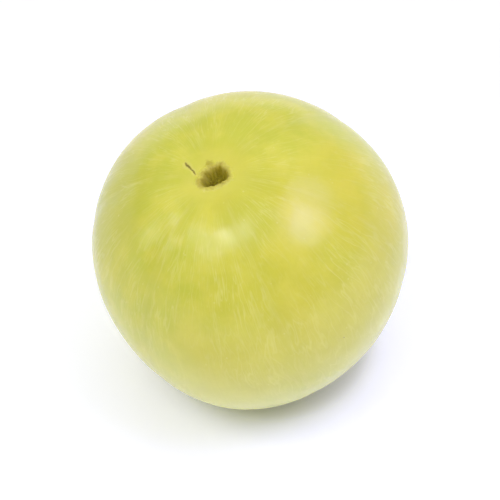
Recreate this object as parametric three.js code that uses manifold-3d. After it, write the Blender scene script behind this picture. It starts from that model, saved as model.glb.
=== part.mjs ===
// Indian gooseberry (amla): one whole ripe fruit, picked, with its stalk pulled out.
//
// One closed solid. The fruit is a slightly flattened globe with six faint furrows that run from the stalk
// end to the far end, a shallow basin with a ragged pit where the stalk sat, and a tiny scar where the
// flower's style sat at the far end. It leans a little on the small flat spot that it rests on.
//
// Units are millimetres, +Z is up. The origin is under the middle of the fruit, on the surface it rests on.

import * as THREE from 'three';
import { mergeVertices } from 'three/addons/utils/BufferGeometryUtils.js';
import Module from 'manifold-3d';

// ---- driving dimensions -------------------------------------------------------------------------------
const EQUATOR_RADIUS = 18.0;      // half the width of the fruit
const STALK_HALF_HEIGHT = 17.0;   // from the widest level up to the stalk end, before the basin
const FAR_HALF_HEIGHT = 16.9;     // from the widest level down to the far end
const SQUARENESS = 2.05;          // 2 is a true ellipse, more is fuller at the shoulders
const TAPER = 0.012;              // share by which the stalk half is fuller than the far half

const LOBES = 6;                  // three seed chambers, each split once
const LOBE_SWELL = 0.0042;        // swell of the lobes between the furrows, as a share of the radius
const FURROW_START = -132;        // degrees round the axis of the first furrow
const FURROW_DEPTH = 0.11;        // mm
const FURROW_WIDTH = 1.05;        // mm, half width of the soft groove

const BASIN_DEPTH = 0.85;         // shallow dip round the stalk pit
const BASIN_RADIUS = 4.4;
const PIT_RADIUS = 1.20;          // mean radius of the ragged pit
const PIT_DEPTH = 1.4;
const PIT_WALL = 0.24;            // half thickness of the sloping pit wall
const LIP_HEIGHT = 0.12;          // dry raised rim round the pit

const SCAR_DIP_DEPTH = 0.4;       // dip at the far end
const SCAR_DIP_RADIUS = 3.0;
const SCAR_RADIUS = 0.55;         // style scar
const SCAR_DEPTH = 0.22;

const LEAN_LEFT = 13.4;           // degrees that the stalk end leans towards -X
const LEAN_FRONT = 7.1;           // degrees that the stalk end leans towards -Y

const REST_DEPTH = 0.50;          // how much the resting spot flattens the skin
const SEGMENTS = 60;              // facets round the fruit's axis

const RAD = Math.PI / 180;

// ---- helpers ------------------------------------------------------------------------------------------
const smooth = (lo, hi, x) => {
  const t = Math.min(1, Math.max(0, (x - lo) / (hi - lo)));
  return t * t * (3 - 2 * t);
};
const bell = (x) => Math.exp(-x * x);

// Broad unevenness that every picked fruit has: [direction, share of the radius, angular reach in radians].
const DENTS = [
  [new THREE.Vector3(-0.86, -0.40, -0.31).normalize(), -0.052, 0.62],
  [new THREE.Vector3(0.78, -0.48, -0.40).normalize(), -0.030, 0.52],
  [new THREE.Vector3(0.30, 0.88, 0.20).normalize(), -0.010, 0.50],
  [new THREE.Vector3(-0.60, 0.75, 0.20).normalize(), 0.009, 0.45],
  [new THREE.Vector3(0.10, -0.80, 0.40).normalize(), 0.006, 0.50],
  [new THREE.Vector3(-0.40, -0.22, -0.90).normalize(), -0.012, 0.40],
];

// Furrows aren't evenly spaced to the degree: the azimuth is warped a little.
const warp = (phi) => phi + 0.045 * Math.sin(phi + 1.1) + 0.025 * Math.sin(2 * phi + 0.4);

// Outline of the stalk pit: two-lobed and ragged.
const pitRadius = (phi) =>
  PIT_RADIUS * (1 + 0.20 * Math.cos(2 * (phi - 0.35)) + 0.07 * Math.cos(3 * phi + 1.3)
    + 0.05 * Math.cos(5 * phi + 0.6) + 0.03 * Math.cos(9 * phi + 2.1));

// Distance from the fruit's centre to its skin. theta runs from the stalk end, phi round the axis.
// The broad dents are given in the resting frame, so the direction there comes in too.
function skinRadius(theta, phi, restDirection) {
  const s = Math.sin(theta);
  const c = Math.cos(theta);
  const half = c > 0 ? STALK_HALF_HEIGHT : FAR_HALF_HEIGHT;
  const n = SQUARENESS;
  let r = Math.pow(Math.pow(s / EQUATOR_RADIUS, n) + Math.pow(Math.abs(c) / half, n), -1 / n);
  r *= 1 + TAPER * c * s * s;

  const around = LOBES * (warp(phi) - FURROW_START * RAD);
  r *= 1 - LOBE_SWELL * Math.pow(s, 1.3) * Math.cos(around);

  // furrow: distance along the skin to the nearest one
  let off = around / LOBES;
  const step = 2 * Math.PI / LOBES;
  off -= step * Math.round(off / step);
  const across = off * r * s;
  const ends = 0.45 + 0.55 * Math.abs(c);
  r -= FURROW_DEPTH * ends * smooth(0.10, 0.32, s) * bell(across / FURROW_WIDTH);

  for (const [direction, share, reach] of DENTS) {
    const angle = restDirection.angleTo(direction);
    r *= 1 + share * bell(angle / reach);
  }

  // stalk end
  const fromStalk = STALK_HALF_HEIGHT * theta;
  if (fromStalk < 14) {
    r -= BASIN_DEPTH * bell(fromStalk / BASIN_RADIUS);
    const edge = pitRadius(phi);
    r += LIP_HEIGHT * bell((fromStalk - edge - 0.5) / 0.34);
    r -= PIT_DEPTH * (1 - smooth(edge - PIT_WALL, edge + PIT_WALL, fromStalk));
    r += 0.35 * bell(fromStalk / 0.42);
  }
  // far end
  const fromScar = FAR_HALF_HEIGHT * (Math.PI - theta);
  if (fromScar < 10) {
    r -= SCAR_DIP_DEPTH * bell(fromScar / SCAR_DIP_RADIUS);
    r -= SCAR_DEPTH * (1 - smooth(SCAR_RADIUS - 0.2, SCAR_RADIUS + 0.2, fromScar));
  }
  return r;
}

// ---- lean of the fruit's own axis ------------------------------------------------------------------------
const stalkDirection = new THREE.Vector3(
  -Math.sin(LEAN_LEFT * RAD),
  -Math.sin(LEAN_FRONT * RAD),
  0,
);
stalkDirection.z = Math.sqrt(1 - stalkDirection.x ** 2 - stalkDirection.y ** 2);
const lean = new THREE.Quaternion().setFromUnitVectors(new THREE.Vector3(0, 0, 1), stalkDirection);

// ---- rings of the skin ------------------------------------------------------------------------------------
// Close together in the pit and at the scar, even elsewhere.
const nearStalk = [0.35, 0.6, 0.8, 1.0, 1.2, 1.42, 1.7, 2.1, 2.7, 3.7, 4.9].map((d) => d / STALK_HALF_HEIGHT);
const nearScar = [4.2, 3.0, 2.0, 1.2, 0.8, 0.5, 0.25].map((d) => Math.PI - d / FAR_HALF_HEIGHT);
const EVEN_RINGS = 28;
const rings = [...nearStalk];
for (let i = 1; i < EVEN_RINGS; i += 1) {
  const from = nearStalk[nearStalk.length - 1];
  const to = nearScar[0];
  rings.push(from + (to - from) * i / EVEN_RINGS);
}
rings.push(...nearScar);

function skinGeometry() {
  const position = [];
  const index = [];
  const own = new THREE.Vector3();
  const place = (theta, phi) => {
    own.set(Math.sin(theta) * Math.cos(phi), Math.sin(theta) * Math.sin(phi), Math.cos(theta));
    const direction = own.clone().applyQuaternion(lean);
    const r = skinRadius(theta, phi, direction);
    position.push(direction.x * r, direction.y * r, direction.z * r);
  };
  place(0, 0);
  for (const theta of rings) {
    for (let j = 0; j < SEGMENTS; j += 1) place(theta, 2 * Math.PI * j / SEGMENTS);
  }
  place(Math.PI, 0);
  const last = 1 + rings.length * SEGMENTS;
  const at = (ring, j) => 1 + ring * SEGMENTS + (j % SEGMENTS);
  for (let j = 0; j < SEGMENTS; j += 1) {
    index.push(0, at(0, j), at(0, j + 1));
    for (let i = 0; i + 1 < rings.length; i += 1) {
      index.push(at(i, j), at(i + 1, j), at(i + 1, j + 1));
      index.push(at(i, j), at(i + 1, j + 1), at(i, j + 1));
    }
    index.push(at(rings.length - 1, j), last, at(rings.length - 1, j + 1));
  }
  const geometry = new THREE.BufferGeometry();
  geometry.setAttribute('position', new THREE.Float32BufferAttribute(position, 3));
  geometry.setIndex(index);
  return geometry;
}

// ---- resting spot: cut flat ------------------------------------------------------------------------------
const wasm = await Module();
wasm.setup();

function toSolid(geometry) {
  const bare = geometry.clone();
  bare.deleteAttribute('normal');
  bare.deleteAttribute('uv');
  const merged = mergeVertices(bare, 1e-5);
  return new wasm.Manifold(new wasm.Mesh({
    numProp: 3,
    vertProperties: new Float32Array(merged.attributes.position.array),
    triVerts: new Uint32Array(merged.index.array),
  }));
}

function toGeometry(solid) {
  const mesh = solid.getMesh();
  const geometry = new THREE.BufferGeometry();
  const points = new Float32Array(mesh.numVert * 3);
  for (let i = 0; i < mesh.numVert; i += 1) {
    for (let k = 0; k < 3; k += 1) points[3 * i + k] = mesh.vertProperties[mesh.numProp * i + k];
  }
  geometry.setAttribute('position', new THREE.BufferAttribute(points, 3));
  geometry.setIndex(new THREE.BufferAttribute(new Uint32Array(mesh.triVerts), 1));
  geometry.computeVertexNormals();
  return geometry;
}

const skin = skinGeometry();
skin.computeBoundingBox();
const box = skin.boundingBox;
skin.translate(
  -(box.min.x + box.max.x) / 2,
  -(box.min.y + box.max.y) / 2,
  -(box.min.z + REST_DEPTH),
);
const below = new THREE.BoxGeometry(60, 60, 20);
below.translate(0, 0, -10);
const fruitGeometry = toGeometry(toSolid(skin).subtract(toSolid(below)));

const fruit = new THREE.Mesh(fruitGeometry, new THREE.MeshStandardMaterial({
  color: 0xcac85c,
  roughness: 0.34,
  metalness: 0,
}));
fruit.name = 'fruit';

const group = new THREE.Group();
group.add(fruit);

export default group;
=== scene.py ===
"""Indian gooseberry (amla): the finished look of one whole, picked fruit that rests on its small flat spot.

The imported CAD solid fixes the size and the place. This script replaces it with a fine skin of the same shape:
six faint furrows, a shallow basin round the ragged stalk pit, a style scar at the far end, and the small
unevenness of a real fruit. Its waxy skin is one procedural material.
"""

import math

import bpy
import numpy as np
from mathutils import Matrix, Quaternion, Vector, noise


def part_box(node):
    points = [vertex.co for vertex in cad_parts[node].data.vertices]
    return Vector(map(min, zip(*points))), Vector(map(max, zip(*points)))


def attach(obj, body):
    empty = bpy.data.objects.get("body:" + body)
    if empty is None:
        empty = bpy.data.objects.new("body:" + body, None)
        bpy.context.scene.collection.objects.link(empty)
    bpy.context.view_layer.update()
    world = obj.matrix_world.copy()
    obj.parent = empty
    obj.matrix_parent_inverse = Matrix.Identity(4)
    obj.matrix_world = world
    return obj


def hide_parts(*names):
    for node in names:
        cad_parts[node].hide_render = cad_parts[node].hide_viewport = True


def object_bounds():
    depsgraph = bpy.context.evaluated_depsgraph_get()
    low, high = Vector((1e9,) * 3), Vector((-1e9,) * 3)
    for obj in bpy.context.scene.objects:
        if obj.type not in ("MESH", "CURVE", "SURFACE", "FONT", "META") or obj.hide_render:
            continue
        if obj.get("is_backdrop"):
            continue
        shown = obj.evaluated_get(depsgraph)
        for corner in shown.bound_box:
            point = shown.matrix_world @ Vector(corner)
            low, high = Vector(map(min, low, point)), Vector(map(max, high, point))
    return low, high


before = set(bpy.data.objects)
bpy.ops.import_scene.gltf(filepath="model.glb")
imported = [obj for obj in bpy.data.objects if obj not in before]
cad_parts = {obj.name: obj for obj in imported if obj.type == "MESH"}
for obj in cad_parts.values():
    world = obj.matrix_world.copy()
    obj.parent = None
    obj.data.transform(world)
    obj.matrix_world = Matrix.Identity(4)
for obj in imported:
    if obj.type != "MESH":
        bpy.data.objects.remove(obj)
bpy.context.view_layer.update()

node_low, node_high = (np.array(corner, float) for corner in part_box("fruit"))

MM = 0.001
RAD = math.pi / 180

# ---- the fruit's shape, in millimetres, as in the CAD model ------------------------------------------------
EQUATOR_RADIUS = 18.0
STALK_HALF_HEIGHT = 17.0
FAR_HALF_HEIGHT = 16.9
SQUARENESS = 2.05
TAPER = 0.012
LOBES = 6
LOBE_SWELL = 0.0042
FURROW_START = -132 * RAD
FURROW_DEPTH = 0.11
FURROW_WIDTH = 1.05
BASIN_DEPTH = 0.85
BASIN_RADIUS = 4.4
PIT_RADIUS = 1.20
PIT_DEPTH = 1.4
PIT_WALL = 0.24
LIP_HEIGHT = 0.12
SCAR_DIP_DEPTH = 0.4
SCAR_DIP_RADIUS = 3.0
SCAR_RADIUS = 0.55
SCAR_DEPTH = 0.22
LEAN_LEFT = 13.4
LEAN_FRONT = 7.1
REST_DEPTH = 0.50
DENTS = [
    ((-0.86, -0.40, -0.31), -0.052, 0.62),
    ((0.78, -0.48, -0.40), -0.030, 0.52),
    ((0.30, 0.88, 0.20), -0.010, 0.50),
    ((-0.60, 0.75, 0.20), 0.009, 0.45),
    ((0.10, -0.80, 0.40), 0.006, 0.50),
    ((-0.40, -0.22, -0.90), -0.012, 0.40),
]

# ---- finer things that only the finished skin has ----------------------------------------------------------
SEGMENTS = 420  # round the fruit's axis
NICK_FROM, NICK_TO = (-2.0, 0.45), (-3.40, 2.50)  # a dry nick beside the pit, where a sepal sat: mm from the stalk end


def smooth(lo, hi, x):
    t = np.clip((x - lo) / (hi - lo), 0, 1)
    return t * t * (3 - 2 * t)


def bell(x):
    return np.exp(-x * x)


def warp(phi):
    return phi + 0.045 * np.sin(phi + 1.1) + 0.025 * np.sin(2 * phi + 0.4)


def pit_radius(phi):
    return PIT_RADIUS * (
        1
        + 0.20 * np.cos(2 * (phi - 0.35))
        + 0.07 * np.cos(3 * phi + 1.3)
        + 0.05 * np.cos(5 * phi + 0.6)
        + 0.03 * np.cos(9 * phi + 2.1)
    )


def fractal(points, octaves=3):
    """Smooth noise at each point, about -1 to 1; the same every run."""
    return np.array([noise.fractal(Vector(p), 0.55, 2.1, octaves) for p in points])


def across_furrow(theta, phi, radius):
    """Distance in mm along the skin to the nearest furrow, signed."""
    off = warp(phi) - FURROW_START
    step = 2 * math.pi / LOBES
    off = off - step * np.round(off / step)
    return off * radius * np.sin(theta)


def skin_radius(theta, phi, rest_direction):
    """Distance in mm from the fruit's centre to its skin: what the CAD solid has."""
    s, c = np.sin(theta), np.cos(theta)
    half = np.where(c > 0, STALK_HALF_HEIGHT, FAR_HALF_HEIGHT)
    n = SQUARENESS
    r = ((s / EQUATOR_RADIUS) ** n + (np.abs(c) / half) ** n) ** (-1 / n)
    r *= 1 + TAPER * c * s * s
    around = LOBES * (warp(phi) - FURROW_START)
    r *= 1 - LOBE_SWELL * s**1.3 * np.cos(around)
    across = across_furrow(theta, phi, r)
    ends = 0.45 + 0.55 * np.abs(c)
    r -= FURROW_DEPTH * ends * smooth(0.10, 0.32, s) * bell(across / FURROW_WIDTH)
    for direction, share, reach in DENTS:
        d = np.array(direction) / np.linalg.norm(direction)
        angle = np.arccos(np.clip(rest_direction @ d, -1, 1))
        r *= 1 + share * bell(angle / reach)
    from_stalk = STALK_HALF_HEIGHT * theta
    edge = pit_radius(phi)
    near = from_stalk < 14
    r -= np.where(near, BASIN_DEPTH * bell(from_stalk / BASIN_RADIUS), 0)
    r += np.where(near, LIP_HEIGHT * bell((from_stalk - edge - 0.5) / 0.34), 0)
    r -= np.where(
        near, PIT_DEPTH * (1 - smooth(edge - PIT_WALL, edge + PIT_WALL, from_stalk)), 0
    )
    r += np.where(near, 0.35 * bell(from_stalk / 0.42), 0)
    from_scar = FAR_HALF_HEIGHT * (math.pi - theta)
    r -= np.where(from_scar < 10, SCAR_DIP_DEPTH * bell(from_scar / SCAR_DIP_RADIUS), 0)
    r -= SCAR_DEPTH * (1 - smooth(SCAR_RADIUS - 0.2, SCAR_RADIUS + 0.2, from_scar))
    return r


def turned(phi, degrees):
    """Angle in radians round the axis from a given azimuth, -pi to pi."""
    return (phi - degrees * RAD + math.pi) % (2 * math.pi) - math.pi


def fine_relief(own, theta, phi):
    """The unevenness of a real skin, in mm, on top of the CAD shape."""
    from_stalk = STALK_HALF_HEIGHT * theta
    edge = pit_radius(phi)
    p = own * EQUATOR_RADIUS
    out = 0.055 * fractal(p * 0.16 + 3.7, 2)  # soft swells, 6 mm apart
    out += 0.004 * fractal(p * 0.75 + 11.0, 2)  # fainter ones, 1.3 mm apart
    # a hair-thin crease along the bottom of each furrow, broken here and there
    r = np.full(len(theta), EQUATOR_RADIUS)
    across = across_furrow(theta, phi, r)
    wander = 0.35 * fractal(p * 0.22 + 23.0, 2)
    broken = smooth(-0.45, 0.25, fractal(p * 0.35 + 31.0, 2))
    out -= 0.005 * broken * bell((across - wander) / 0.22) * smooth(0.16, 0.34, np.sin(theta))
    # two of the furrows all but fade out on the front
    s, c = np.sin(theta), np.cos(theta)
    faded = 0.66 * bell(turned(phi, -12) / 0.42) + 0.72 * bell(turned(phi, -72) / 0.42)
    out += faded * FURROW_DEPTH * (0.45 + 0.55 * np.abs(c)) * smooth(0.10, 0.32, s) * bell(across / FURROW_WIDTH)
    # the dry rim is cracked into small lumps, and the pit's wall and floor are torn fibre
    lumps = fractal(np.c_[np.cos(phi) * 3.1, np.sin(phi) * 3.1, from_stalk * 0.9] + 5.0, 3)
    rim = np.exp(-(((from_stalk - edge - 0.35) / 0.45) ** 2))
    out += 0.10 * rim * lumps
    inside = 1 - smooth(edge - 0.35, edge + 0.1, from_stalk)
    fibre = fractal(np.c_[np.cos(phi) * 2.2, np.sin(phi) * 2.2, from_stalk * 1.6] + 9.0, 3)
    out += 0.32 * inside * fibre
    # the pit is deepest on its left
    x, y = from_stalk * np.cos(phi), from_stalk * np.sin(phi)
    out += 0.25 * inside * np.clip(x / PIT_RADIUS, -1, 1)
    # the nick beside the pit
    reach_x, reach_y = NICK_TO[0] - NICK_FROM[0], NICK_TO[1] - NICK_FROM[1]
    length = math.hypot(reach_x, reach_y)
    ax, ay = reach_x / length, reach_y / length
    x, y = x - NICK_FROM[0], y - NICK_FROM[1]
    along, side = x * ax + y * ay, -x * ay + y * ax
    wander = fractal(np.c_[along * 0.8, side * 0.3, side * 0.0] + 41.0, 3)
    side = side - 0.14 * wander
    wide = 0.10 + 0.10 * smooth(0.6, 1.9, along) + 0.05 * fractal(np.c_[along * 2.2, side, side * 0.0] + 47.0, 2)
    reach = smooth(-0.2, 0.5, along) * (1 - smooth(length - 0.3, length + 0.1, along))
    out -= 0.07 * reach * (0.4 + 0.6 * smooth(0.6, 1.7, along)) * bell(side / wide)
    out += 0.02 * reach * bell((np.abs(side) - wide - 0.16) / 0.12)
    nick = np.where(reach > 0.01, np.abs(side) / wide + (1 - reach) * 1.3, 9.0)
    return out, nick


# ---- the mesh: rings round the fruit's own axis, closest together at the pit ---------------------------------
def ring_angles():
    stalk = np.concatenate([
        np.linspace(0.07, 2.1, 27),
        np.linspace(2.1, 5.2, 20)[1:],
    ]) / STALK_HALF_HEIGHT
    scar = math.pi - np.linspace(0.1, 1.3, 8)[::-1] / FAR_HALF_HEIGHT
    middle = np.linspace(stalk[-1], scar[0], 172)[1:-1]
    return np.concatenate([stalk, middle, scar])


def build_fruit():
    rings = ring_angles()
    phis = 2 * math.pi * np.arange(SEGMENTS) / SEGMENTS
    theta = np.concatenate([[0.0], np.repeat(rings, SEGMENTS), [math.pi]])
    phi = np.concatenate([[0.0], np.tile(phis, len(rings)), [0.0]])
    own = np.c_[np.sin(theta) * np.cos(phi), np.sin(theta) * np.sin(phi), np.cos(theta)]

    sx, sy = -math.sin(LEAN_LEFT * RAD), -math.sin(LEAN_FRONT * RAD)
    stalk_direction = Vector((sx, sy, math.sqrt(1 - sx * sx - sy * sy)))
    lean = Vector((0, 0, 1)).rotation_difference(stalk_direction)
    turn = np.array(lean.to_matrix())
    rest = own @ turn.T

    plain = skin_radius(theta, phi, rest)
    # the CAD solid's place: its box stands on z = 0, centred in x and y
    coarse = rest * plain[:, None]
    shift = -(coarse.min(0) + coarse.max(0)) / 2
    shift[2] = -(coarse[:, 2].min() + REST_DEPTH)

    relief, nick = fine_relief(own, theta, phi)
    points = rest * (plain + relief)[:, None] + shift
    # the resting spot: flat, with a soft edge
    z = points[:, 2]
    soft = 0.10
    points[:, 2] = np.where(z < soft, np.where(z < -soft, 0, (z + soft) ** 2 / (4 * soft)), z)

    # keep exactly to the CAD node's box
    centre = (node_low + node_high) / 2 / MM
    points[:, 0] += centre[0]
    points[:, 1] += centre[1]
    points[:, 2] += node_low[2] / MM

    last = len(points) - 1
    j = np.arange(SEGMENTS)
    j2 = (j + 1) % SEGMENTS
    faces = [np.c_[np.zeros(SEGMENTS, int), 1 + j, 1 + j2]]
    tops, quads = faces, []
    for i in range(len(rings) - 1):
        a, b = 1 + i * SEGMENTS, 1 + (i + 1) * SEGMENTS
        quads.append(np.c_[a + j, b + j, b + j2, a + j2])
    quads = np.concatenate(quads)
    end = 1 + (len(rings) - 1) * SEGMENTS
    bottoms = np.c_[end + j, np.full(SEGMENTS, last), end + j2]

    me = bpy.data.meshes.new("fruit_skin")
    me.from_pydata(
        (points * MM).tolist(),
        [],
        tops[0].tolist() + quads.tolist() + bottoms.tolist(),
    )
    me.polygons.foreach_set("use_smooth", np.ones(len(me.polygons), bool))

    # where each point is on the fruit, for the material: all in the fruit's own terms
    from_stalk = STALK_HALF_HEIGHT * theta
    facts = {
        "rim": from_stalk - pit_radius(phi),  # mm outside the pit's edge
        "stalk": from_stalk,  # mm from the stalk end
        "far": FAR_HALF_HEIGHT * (math.pi - theta),  # mm from the far end
        "furrow": across_furrow(theta, phi, np.full(len(theta), EQUATOR_RADIUS)),
        "nick": nick,  # how far out from the nick, 1 at its edge
    }
    for name, values in facts.items():
        me.attributes.new(name, "FLOAT", "POINT").data.foreach_set(
            "value", values.astype(np.float32)
        )
    me.attributes.new("own", "FLOAT_VECTOR", "POINT").data.foreach_set(
        "vector", own.astype(np.float32).ravel()
    )

    # a globe map: round the axis, and from the stalk end to the far end
    heights = 1 - np.arange(len(theta)) * 0.0
    heights[1:-1] = 1 - np.repeat(rings, SEGMENTS) / math.pi
    heights[0], heights[-1] = 1.0, 0.0
    uv = np.empty((len(me.loops), 2), np.float32)
    k = 0
    ring_v = 1 - rings / math.pi
    edge = 0.002
    put = lambda u, v: (edge + (1 - 2 * edge) * u, edge + (1 - 2 * edge) * v)
    for col in range(SEGMENTS):
        u0, u1 = col / SEGMENTS, (col + 1) / SEGMENTS
        uv[k] = put((u0 + u1) / 2, 1.0)
        uv[k + 1] = put(u0, ring_v[0])
        uv[k + 2] = put(u1, ring_v[0])
        k += 3
    n = len(rings) - 1
    u0 = np.tile(np.arange(SEGMENTS) / SEGMENTS, n)
    u1 = u0 + 1 / SEGMENTS
    v0 = np.repeat(ring_v[:-1], SEGMENTS)
    v1 = np.repeat(ring_v[1:], SEGMENTS)
    block = np.empty((n * SEGMENTS, 4, 2), np.float32)
    for corner, (u, v) in enumerate(((u0, v0), (u0, v1), (u1, v1), (u1, v0))):
        block[:, corner, 0], block[:, corner, 1] = put(u, v)
    uv[k : k + 4 * n * SEGMENTS] = block.reshape(-1, 2)
    k += 4 * n * SEGMENTS
    for col in range(SEGMENTS):
        u0, u1 = col / SEGMENTS, (col + 1) / SEGMENTS
        uv[k] = put(u0, ring_v[-1])
        uv[k + 1] = put((u0 + u1) / 2, 0.0)
        uv[k + 2] = put(u1, ring_v[-1])
        k += 3
    me.uv_layers.new(name="OFBake").data.foreach_set("uv", uv.ravel())
    me.update()

    ob = bpy.data.objects.new("fruit_skin", me)
    bpy.context.scene.collection.objects.link(ob)
    return ob


# ---- the skin's material ------------------------------------------------------------------------------------
class Graph:
    """Short names for making shader nodes."""

    def __init__(self, name):
        self.material = bpy.data.materials.new(name)
        self.material.use_nodes = True
        self.tree = self.material.node_tree
        self.tree.nodes.clear()

    def node(self, kind, **settings):
        made = self.tree.nodes.new(kind)
        for key, value in settings.items():
            setattr(made, key, value)
        return made

    def feed(self, socket, value):
        if isinstance(value, bpy.types.NodeSocket):
            self.tree.links.new(value, socket)
        elif value is not None:
            socket.default_value = value

    def math(self, operation, a, b=None, c=None, clamp=False):
        made = self.node("ShaderNodeMath", operation=operation, use_clamp=clamp)
        for socket, value in zip(made.inputs, (a, b, c)):
            self.feed(socket, value)
        return made.outputs[0]

    def vector(self, operation, a, b=None, scale=None):
        made = self.node("ShaderNodeVectorMath", operation=operation)
        self.feed(made.inputs[0], a)
        if b is not None:
            self.feed(made.inputs[1], b)
        if scale is not None:
            self.feed(made.inputs["Scale"], scale)
        return made.outputs["Value" if operation in ("LENGTH", "DISTANCE", "DOT_PRODUCT") else "Vector"]

    def attribute(self, name, output="Fac"):
        return self.node("ShaderNodeAttribute", attribute_name=name).outputs[output]

    def noise(self, vector, scale, detail=2.0, rough=0.5, distortion=0.0):
        made = self.node("ShaderNodeTexNoise", noise_dimensions="3D")
        self.feed(made.inputs["Vector"], vector)
        self.feed(made.inputs["Scale"], scale)
        self.feed(made.inputs["Detail"], detail)
        self.feed(made.inputs["Roughness"], rough)
        self.feed(made.inputs["Distortion"], distortion)
        return made.outputs["Fac"]

    def step(self, value, lo, hi, to_lo=0.0, to_hi=1.0):
        """Smooth step from to_lo at lo to to_hi at hi."""
        made = self.node("ShaderNodeMapRange", interpolation_type="SMOOTHSTEP")
        self.feed(made.inputs["Value"], value)
        if lo > hi:
            lo, hi, to_lo, to_hi = hi, lo, to_hi, to_lo
        for key, number in (("From Min", lo), ("From Max", hi), ("To Min", to_lo), ("To Max", to_hi)):
            made.inputs[key].default_value = number
        return made.outputs["Result"]

    def mix(self, share, a, b, blend="MIX"):
        made = self.node("ShaderNodeMix", data_type="RGBA", blend_type=blend, clamp_factor=True)
        self.feed(made.inputs[0], share)
        self.feed(made.inputs[6], a)
        self.feed(made.inputs[7], b)
        return made.outputs[2]

    def cells(self, vector, scale, randomness=1.0):
        """Distance to the nearest scattered point, in cell widths, and that point's own random colour."""
        made = self.node("ShaderNodeTexVoronoi", voronoi_dimensions="3D", feature="F1")
        self.feed(made.inputs["Vector"], vector)
        self.feed(made.inputs["Scale"], scale)
        self.feed(made.inputs["Randomness"], randomness)
        split = self.node("ShaderNodeSeparateColor")
        self.feed(split.inputs[0], made.outputs["Color"])
        return made.outputs["Distance"], split.outputs


def srgb(r, g, b):
    """A display colour, 0 to 255, as the shader's linear colour."""
    def one(x):
        x /= 255
        return x / 12.92 if x <= 0.04045 else ((x + 0.055) / 1.055) ** 2.4
    return (one(r), one(g), one(b), 1.0)


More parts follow.
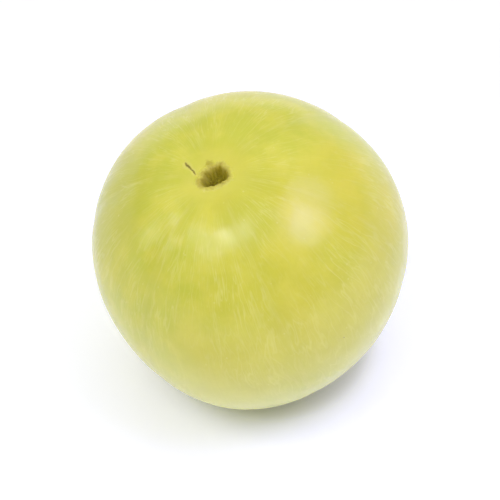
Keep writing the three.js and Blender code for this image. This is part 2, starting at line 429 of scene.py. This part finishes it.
def skin_material():
    g = Graph("amla_skin")
    own = g.attribute("own", "Vector")
    place = g.vector("SCALE", own, scale=EQUATOR_RADIUS)  # mm on the skin
    rim = g.attribute("rim")
    stalk = g.attribute("stalk")
    far = g.attribute("far")
    furrow = g.attribute("furrow")
    nick = g.attribute("nick")

    # long thin features: fast round the axis, slow along it, with no seam
    split = g.node("ShaderNodeSeparateXYZ")
    g.feed(split.inputs[0], own)
    x, y, z = split.outputs
    flat = g.math("MAXIMUM", g.math("SQRT", g.math("ADD", g.math("MULTIPLY", x, x), g.math("MULTIPLY", y, y))), 0.001)
    theta = g.math("MULTIPLY", stalk, 1 / STALK_HALF_HEIGHT)
    around = g.node("ShaderNodeCombineXYZ")
    g.feed(around.inputs[0], g.math("DIVIDE", x, flat))
    g.feed(around.inputs[1], g.math("DIVIDE", y, flat))
    g.feed(around.inputs[2], g.math("MULTIPLY", theta, 0.16))
    waver = g.node("ShaderNodeTexNoise", noise_dimensions="3D")
    g.feed(waver.inputs["Vector"], place)
    waver.inputs["Scale"].default_value = 0.16
    waver.inputs["Detail"].default_value = 2.0
    shifted = g.vector("MULTIPLY_ADD", waver.outputs["Color"], (0.10, 0.10, 0.0))
    shifted.node.inputs[2].default_value = (0, 0, 0)
    g.feed(shifted.node.inputs[2], around.outputs[0])
    lines = shifted

    # --- colour of the clean skin: yellow-green, warmer and greener in wide soft areas
    wide = g.noise(g.vector("ADD", place, (7.3, 2.1, 4.4)), 0.060, 1.0, 0.4)
    colour = g.mix(g.step(wide, 0.36, 0.64), srgb(200, 202, 76), srgb(212, 203, 72))
    mottle = g.noise(place, 0.33, 3.0, 0.55)
    colour = g.mix(g.step(mottle, 0.32, 0.70, 0.0, 0.55), colour, srgb(223, 215, 93))
    fine = g.noise(place, 1.9, 3.0, 0.6)
    colour = g.mix(g.step(fine, 0.40, 0.75, 0.0, 0.11), colour, srgb(196, 190, 62))

    # --- painted light: paler and less saturated towards the far end, the underside, as if from the bright floor below
    colour = g.mix(g.step(theta, 0.75, 2.1, 0.0, 0.50), colour, srgb(212, 219, 150))

    # --- a warmer, lighter cheek on the right; painted shade on the left, a darker, greener cheek; and painted shade in a darker, greener band down from the pit between the two highlights. They are placed to match the photo.
    def towards(x, y, z, lo, hi, share):
        return g.step(g.vector("DOT_PRODUCT", own, (x, y, z)), lo, hi, 0.0, share)
    colour = g.mix(towards(0.831, -0.041, 0.555, 0.88, 0.985, 0.38), colour, srgb(226, 208, 76))
    # painted shade: the left cheek darker and greener
    colour = g.mix(towards(-0.746, 0.081, 0.661, 0.885, 0.985, 0.55), colour, srgb(184, 188, 66))
    # painted shade: a darker, greener band down from the pit, between the two highlights
    painted_shade_streak = g.math("MAXIMUM", towards(0.216, -0.320, 0.922, 0.966, 0.998, 0.55), towards(0.240, -0.120, 0.963, 0.972, 0.998, 0.40))
    colour = g.mix(painted_shade_streak, colour, srgb(190, 194, 72))

    # --- pale veins from end to end
    vein_a = g.noise(lines, 13.0, 2.0, 0.55)
    vein_b = g.noise(g.vector("ADD", lines, (3.1, 8.2, 5.7)), 30.0, 1.0, 0.5)
    ridge = lambda n, width: g.step(g.math("ABSOLUTE", g.math("SUBTRACT", n, 0.5)), width, 0.0)
    patchy = g.step(g.noise(place, 0.13, 2.0, 0.5), 0.38, 0.62, 0.25, 1.0)
    veins = g.math("MULTIPLY", g.math("ADD", g.math("MULTIPLY", ridge(vein_a, 0.035), 0.55), g.math("MULTIPLY", ridge(vein_b, 0.05), 0.30)), patchy)
    away = g.step(stalk, 2.2, 6.0)
    veins = g.math("MULTIPLY", veins, away)
    colour = g.mix(g.math("MULTIPLY", veins, 0.55), colour, srgb(232, 228, 140))

    # --- furrows: a faint pale line with slightly deeper colour beside it
    near_furrow = g.math("ABSOLUTE", furrow)
    beside = g.math("MULTIPLY", g.step(near_furrow, 2.6, 0.5), 0.16)
    colour = g.mix(beside, colour, srgb(188, 188, 60))
    thread = g.math("MULTIPLY", g.step(near_furrow, 0.42, 0.08), g.step(g.noise(place, 0.5, 2.0), 0.35, 0.6, 0.15, 0.75))
    thread = g.math("MULTIPLY", thread, away)
    colour = g.mix(g.math("MULTIPLY", thread, 0.20), colour, srgb(228, 222, 134))

    # --- pores: tiny pale dots
    pore_d, pore_c = g.cells(place, 0.85)
    pore_size = g.step(pore_c[0], 0.0, 1.0, 0.05, 0.13)
    pore = g.math("MULTIPLY", g.math("SUBTRACT", 1.0, g.math("DIVIDE", pore_d, pore_size), clamp=True), g.step(pore_c[1], 0.35, 0.5))
    pore = g.math("MULTIPLY", g.step(pore, 0.0, 0.6), g.step(rim, 0.8, 2.0))
    colour = g.mix(g.math("MULTIPLY", pore, 0.32), colour, srgb(233, 229, 150))

    # --- round the pit: a paler, then a browner ring
    ragged = g.math("MULTIPLY", g.math("SUBTRACT", g.noise(place, 1.6, 3.0, 0.6), 0.5), 1.1)
    out = g.math("ADD", rim, ragged)
    halo = g.math("MULTIPLY", g.step(out, 3.4, 0.9), 0.50)
    colour = g.mix(halo, colour, srgb(217, 211, 94))
    cork = g.math("MULTIPLY", g.step(out, 0.95, 0.25), 0.75)
    cork_colour = g.mix(g.noise(place, 3.5, 3.0, 0.6), srgb(152, 135, 44), srgb(187, 170, 72))
    colour = g.mix(cork, colour, cork_colour)
    brown = g.step(out, 0.22, -0.10)
    fibre = g.noise(place, 4.5, 3.0, 0.65)
    pit_colour = g.mix(g.step(fibre, 0.35, 0.7), srgb(152, 139, 14), srgb(190, 176, 44))
    # partly painted shade: the bottom of the pit is darker than the pit's own brown, more on its left side
    deep_pit_shade = g.step(rim, -0.1, -0.6)
    pit_colour = g.mix(g.math("MULTIPLY", deep_pit_shade, g.step(x, 0.07, -0.06, 0.25, 0.85)), pit_colour, srgb(124, 109, 7))
    colour = g.mix(brown, colour, pit_colour)

    # --- a small brown chafe behind the pit
    chafed = g.math("MULTIPLY_ADD", g.math("SUBTRACT", g.noise(place, 2.6, 3.0, 0.6), 0.5), 0.9, g.vector("DISTANCE", place, (-0.62, 1.95, 17.88)))
    colour = g.mix(g.step(chafed, 0.72, 0.22, 0.0, 0.55), colour, srgb(160, 142, 44))

    # --- the nick
    torn = g.math("MULTIPLY_ADD", g.math("SUBTRACT", g.noise(place, 5.0, 3.0, 0.6), 0.5), 1.5, nick)
    nick_mask = g.math("MULTIPLY", g.step(torn, 1.15, 0.35), 0.85)
    nick_edge = g.math("MULTIPLY", g.step(nick, 3.0, 1.4), 0.35)
    colour = g.mix(nick_edge, colour, srgb(224, 214, 122))
    colour = g.mix(nick_mask, colour, g.mix(g.step(torn, 0.6, -0.1), srgb(138, 122, 36), srgb(98, 82, 18)))

    # --- the style scar at the far end
    scar_out = g.math("ADD", far, g.math("MULTIPLY", ragged, 0.35))
    colour = g.mix(g.math("MULTIPLY", g.step(scar_out, 1.6, 0.7), 0.5), colour, srgb(190, 172, 88))
    colour = g.mix(g.step(scar_out, 0.75, 0.45), colour, srgb(92, 68, 30))

    # --- blemishes: a few brown specks and one faint rough patch on the back
    speck_d, speck_c = g.cells(g.vector("ADD", place, (6.1, 2.3, 9.4)), 0.24)
    speck_r = g.step(speck_c[0], 0.0, 1.0, 0.03, 0.085)
    speck_shape = g.math("ADD", speck_d, g.math("MULTIPLY", g.math("SUBTRACT", g.noise(place, 3.2, 3.0, 0.65), 0.5), 0.16))
    speck = g.math("SUBTRACT", 1.0, g.math("DIVIDE", speck_shape, speck_r), clamp=True)
    speck = g.math("MULTIPLY", g.step(speck, 0.0, 0.45), g.step(speck_c[2], 0.70, 0.72))
    speck = g.math("MULTIPLY", speck, g.step(rim, 1.5, 2.5))
    colour = g.mix(g.math("MULTIPLY", speck, 0.62), colour, srgb(122, 98, 40))

    # --- a faint rubbed patch on the back, from another fruit or a twig
    rubbed = g.vector("DISTANCE", place, (11.6, 12.2, -5.4))
    scuff = g.noise(g.vector("MULTIPLY", place, (1.0, 1.0, 0.45)), 1.5, 4.0, 0.65)
    scuffed = g.math("MULTIPLY", g.step(rubbed, 3.4, 0.8), g.step(scuff, 0.47, 0.66))
    colour = g.mix(g.math("MULTIPLY", scuffed, 0.42), colour, srgb(158, 132, 66))

    # --- shine: waxy, drier at the pit and the marks
    rough = g.step(g.noise(place, 0.6, 3.0, 0.55), 0.3, 0.7, 0.19, 0.25)
    def rougher(share, value):
        nonlocal rough
        made = g.node("ShaderNodeMix", data_type="FLOAT")
        g.feed(made.inputs[0], share)
        g.feed(made.inputs[2], rough)
        g.feed(made.inputs[3], value)
        rough = made.outputs[0]
    rougher(g.step(out, 1.1, 0.2), 0.62)
    rougher(brown, 0.85)
    rougher(speck, 0.6)
    rougher(scuffed, 0.5)
    rougher(nick_mask, 0.7)
    rougher(g.step(scar_out, 1.0, 0.5), 0.7)

    # --- relief too fine for the mesh, in mm
    height = g.math("MULTIPLY", g.noise(place, 1.1, 1.0, 0.4), 0.0032)
    height = g.math("ADD", height, g.math("MULTIPLY", g.noise(place, 4.5, 1.0, 0.4), 0.0004))
    height = g.math("ADD", height, g.math("MULTIPLY", pore, 0.003))
    height = g.math("SUBTRACT", height, g.math("MULTIPLY", veins, 0.003))
    height = g.math("SUBTRACT", height, g.math("MULTIPLY", speck, 0.03))
    dry = g.math("MULTIPLY", g.step(out, 1.0, 0.1), g.noise(place, 5.0, 3.0, 0.6))
    height = g.math("ADD", height, g.math("MULTIPLY", dry, 0.10))
    bump = g.node("ShaderNodeBump")
    bump.inputs["Strength"].default_value = 1.0
    bump.inputs["Distance"].default_value = MM
    g.feed(bump.inputs["Height"], height)

    shader = g.node("ShaderNodeBsdfPrincipled")
    g.feed(shader.inputs["Base Color"], colour)
    g.feed(shader.inputs["Roughness"], rough)
    g.feed(shader.inputs["Normal"], bump.outputs[0])
    shader.inputs["IOR"].default_value = 1.5
    shader.inputs["Subsurface Weight"].default_value = 0.55
    shader.inputs["Subsurface Radius"].default_value = (1.0, 0.85, 0.22)
    shader.inputs["Subsurface Scale"].default_value = 0.0026
    output = g.node("ShaderNodeOutputMaterial")
    g.feed(output.inputs["Surface"], shader.outputs[0])
    return g.material


fruit = build_fruit()
fruit.data.materials.append(skin_material())
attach(fruit, "root")
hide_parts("fruit")


# ---- floor, light and camera ----------------------------------------------------------------------------------
SURROUND = 0.98
DOME = 0.20


def floor_piece():
    me = bpy.data.meshes.new("floor")
    rings, sides = 24, 96
    verts = [(0, 0, 0)]
    for i in range(1, rings + 1):
        radius = 5.0 * (i / rings) ** 2.2
        verts += [
            (radius * math.cos(2 * math.pi * k / sides), radius * math.sin(2 * math.pi * k / sides), 0)
            for k in range(sides)
        ]
    faces = [(0, 1 + k, 1 + (k + 1) % sides) for k in range(sides)]
    for i in range(rings - 1):
        a, b = 1 + i * sides, 1 + (i + 1) * sides
        faces += [(a + k, b + k, b + (k + 1) % sides, a + (k + 1) % sides) for k in range(sides)]
    me.from_pydata(verts, [], faces)
    ob = bpy.data.objects.new("floor", me)
    ob.location.z = -0.00003
    bpy.context.scene.collection.objects.link(ob)

    g = Graph("floor_white")
    where = g.node("ShaderNodeNewGeometry").outputs["Position"]
    away = g.vector("LENGTH", where)
    # the shade right under the fruit is partly painted here, and its place and width are tuned to the photo
    under = g.vector("DISTANCE", where, (0.0025, 0.0, 0.0))
    diffuse = g.node("ShaderNodeBsdfDiffuse")
    tone = g.noise(where, 60.0, 3.0, 0.5)
    white = g.mix(tone, (1.02, 1.025, 1.025, 1), (1.05, 1.055, 1.055, 1))
    g.feed(diffuse.inputs["Color"], g.mix(g.step(under, 0.0092, 0.0127), (0.70, 0.70, 0.68, 1), white))
    painted_fill_light = g.node("ShaderNodeEmission")  # painted light: a faint bluish glow in a ring round the fruit, from just outside the painted shade, that lightens the fruit's shadow
    painted_fill_light.inputs["Color"].default_value = (0.57, 0.59, 1.30, 1)
    g.feed(painted_fill_light.inputs["Strength"], g.math("MINIMUM", g.step(under, 0.0100, 0.0142, 0.0, 0.16), g.step(away, 0.040, 0.019, 0.05, 0.15)))
    filled = g.node("ShaderNodeAddShader")
    g.feed(filled.inputs[0], diffuse.outputs[0])
    g.feed(filled.inputs[1], painted_fill_light.outputs[0])
    glow = g.node("ShaderNodeEmission")
    glow.inputs["Color"].default_value = (SURROUND, SURROUND, SURROUND, 1)
    blend = g.node("ShaderNodeMixShader")
    # painted light: from 24 mm out the floor is three quarters flat glow, which lightens the fruit's soft shadow
    # there; from 0.10 m to 0.42 m it turns wholly into glow
    g.feed(blend.inputs[0], g.math("MAXIMUM", g.step(away, 0.024, 0.050, 0.0, 0.75), g.step(away, 0.10, 0.42)))
    g.feed(blend.inputs[1], filled.outputs[0])
    g.feed(blend.inputs[2], glow.outputs[0])
    output = g.node("ShaderNodeOutputMaterial")
    g.feed(output.inputs["Surface"], blend.outputs[0])
    me.materials.append(g.material)
    return ob


floor_piece()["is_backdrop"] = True

def studio_world():
    """A plain pale surround: bright at the horizon, where the floor meets it, and dimmer overhead."""
    world = bpy.data.worlds.new("studio")
    bpy.context.scene.world = world
    world.use_nodes = True
    tree = world.node_tree
    tree.nodes.clear()
    where = tree.nodes.new("ShaderNodeTexCoord")
    split = tree.nodes.new("ShaderNodeSeparateXYZ")
    tree.links.new(where.outputs["Generated"], split.inputs[0])
    fade = tree.nodes.new("ShaderNodeMapRange")
    fade.interpolation_type = "SMOOTHSTEP"
    tree.links.new(split.outputs["Z"], fade.inputs["Value"])
    for key, number in (("From Min", 0.03), ("From Max", 0.16), ("To Min", SURROUND), ("To Max", DOME)):
        fade.inputs[key].default_value = number
    back = tree.nodes.new("ShaderNodeBackground")
    back.inputs["Color"].default_value = (1, 1, 1, 1)
    tree.links.new(fade.outputs["Result"], back.inputs["Strength"])
    output = tree.nodes.new("ShaderNodeOutputWorld")
    tree.links.new(back.outputs[0], output.inputs["Surface"])


studio_world()


def softbox(name, direction, distance, width, height, watts, colour=(1, 1, 1), shape="RECTANGLE"):
    light = bpy.data.lights.new(name, "AREA")
    light.shape = shape
    light.size, light.size_y = width, height
    light.energy = watts
    light.color = colour
    ob = bpy.data.objects.new(name, light)
    d = Vector(direction).normalized()
    middle = Vector((0, 0, 0.017))
    ob.location = middle + d * distance
    ob.rotation_euler = (-d).to_track_quat("-Z", "Y").to_euler()
    bpy.context.scene.collection.objects.link(ob)
    return ob


softbox("softbox_right", (0.537, 0.012, 0.842), 0.75, 0.54, 0.60, 1.12, (1, 0.975, 1.6), "ELLIPSE")
softbox("softbox_right_core", (0.538, -0.101, 0.837), 0.75, 0.32, 0.21, 0.50, (1, 0.975, 1.6))
softbox("softbox_left", (-0.561, -0.22, 0.808), 0.75, 0.46, 0.17, 0.55)
softbox("softbox_left_core", (-0.29, -0.25, 0.922), 0.75, 0.20, 0.16, 0.72)
softbox("softbox_side", (-0.93, -0.03, 0.40), 0.75, 0.12, 0.30, 0.28).visible_diffuse = False  # only a reflection
# these only light it evenly: the fruit shows no reflection of them
softbox("softbox_top", (0.0, 0.22, 1.0), 0.90, 1.8, 1.6, 4.85).visible_glossy = False
for name, direction, width, height, watts in (
    ("softbox_front", (-0.15, -0.56, 0.80), 0.34, 0.26, 0.20),
    ("softbox_back", (-0.05, 0.66, 0.78), 0.60, 0.40, 0.90),
    ("softbox_low_left", (-0.46, -0.66, 0.60), 0.40, 0.30, 0.68),
    ("softbox_low_right", (0.64, -0.48, 0.60), 0.40, 0.30, 0.46),
):
    softbox(name, direction, 0.75, width, height, watts).visible_glossy = False

ELEVATION = 52 * RAD
low, high = (Vector(c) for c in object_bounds())
target = (low + high) / 2
DISTANCE = 0.42
camera_data = bpy.data.cameras.new("camera")
camera_data.sensor_width = 36
camera_data.lens = 270
camera_data.clip_start = 0.01
camera_data.clip_end = 50
camera = bpy.data.objects.new("camera", camera_data)
camera.location = target + DISTANCE * Vector((0, -math.cos(ELEVATION), math.sin(ELEVATION)))
camera.rotation_euler = (math.pi / 2 - ELEVATION, 0, 0)
bpy.context.scene.collection.objects.link(camera)
bpy.context.scene.camera = camera

bpy.context.scene.view_settings.view_transform = "Standard"
bpy.context.scene.view_settings.look = "None"
